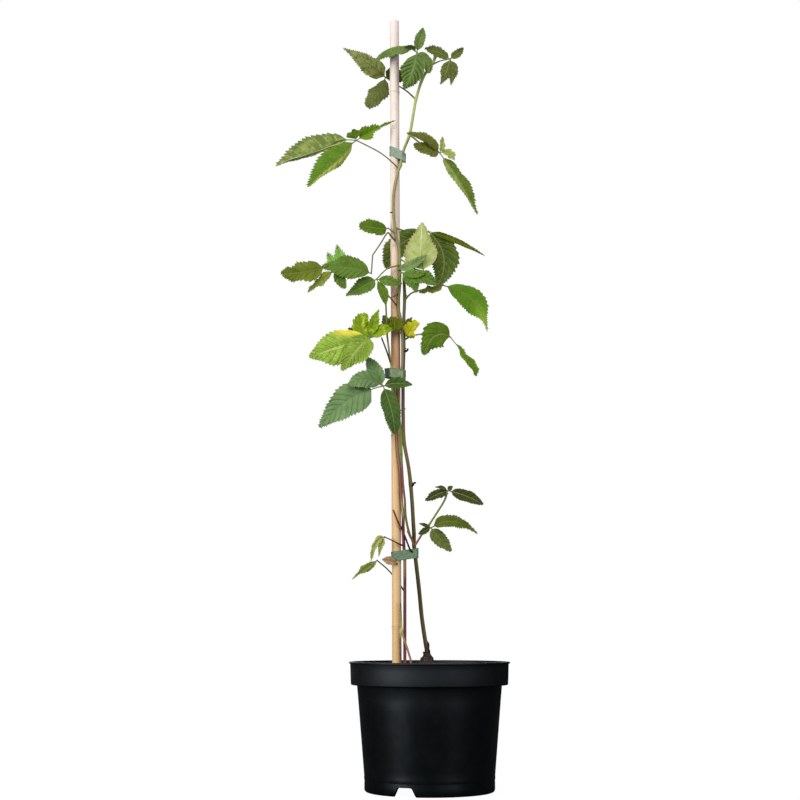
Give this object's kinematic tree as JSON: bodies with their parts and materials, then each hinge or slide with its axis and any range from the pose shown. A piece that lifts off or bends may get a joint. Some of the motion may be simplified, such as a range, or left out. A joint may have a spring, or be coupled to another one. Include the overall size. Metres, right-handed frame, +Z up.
{
  "type": "potted bramble bush",
  "caption": "Bramble bush with compound leaves on thin canes, tied with tape to a bamboo cane in a black round nursery pot with a deep rim band and foot notches.",
  "frame": {"origin": "centre of the pot's foot, on the surface that the pot stands on", "axes": "+Z up along the pot's axis, +X to the right and -Y towards the viewer when the plant is seen from its front"},
  "size_m": [0.2813, 0.19, 0.941],
  "materials": {
    "pot_plastic": "near-black moulded plastic with a soft sheen",
    "compost": null,
    "bamboo": "dry bamboo cane, pale at the top and golden at the bottom",
    "bark": "rough dark bark",
    "cane": "bramble cane, maroon at the bottom and olive above",
    "green_stem": null,
    "young_wood": "thin brown and pink shoot",
    "tape": "grey-green tying tape",
    "leaf_bright": null,
    "leaf_olive": null,
    "leaf_dark": null,
    "leaf_blue": null,
    "leaf_pale": null,
    "leaf_variegated": null,
    "leaf_yellow": null,
    "leaf_dry": null
  },
  "bodies": {
    "root": {"pot": "pot_plastic", "compost": "compost", "bamboo_stake": "bamboo", "root_crown": "bark", "cane_tall": "cane", "cane_right": "cane", "cane_thin": "green_stem", "side_shoot": "green_stem", "base_shoot": "young_wood", "tie_top": "tape", "tie_middle": "tape", "tie_bottom": "tape", "leaf_crown_left": "leaf_pale", "leaf_crown_front": "leaf_bright", "leaf_crown_right": "leaf_olive", "leaf_upper_left": "leaf_pale", "leaf_upper_right": "leaf_olive", "leaf_node_left": "leaf_olive", "leaf_mid_left": "leaf_bright", "leaf_far_left": "leaf_bright", "leaf_back": "leaf_dark", "leaf_pale_up": "leaf_pale", "leaf_front_small": "leaf_bright", "leaf_mid_front": "leaf_bright", "leaf_mid_right": "leaf_bright", "leaf_variegated": "leaf_variegated", "leaf_yellow": "leaf_yellow", "leaf_heart_right": "leaf_bright", "leaf_blue": "leaf_blue", "leaf_low_left": "leaf_variegated", "leaf_low_back": "leaf_olive", "leaf_dried": "leaf_dry", "leaf_shoot_top": "leaf_dark", "leaf_shoot_low": "leaf_olive"}
  },
  "joints": []
}
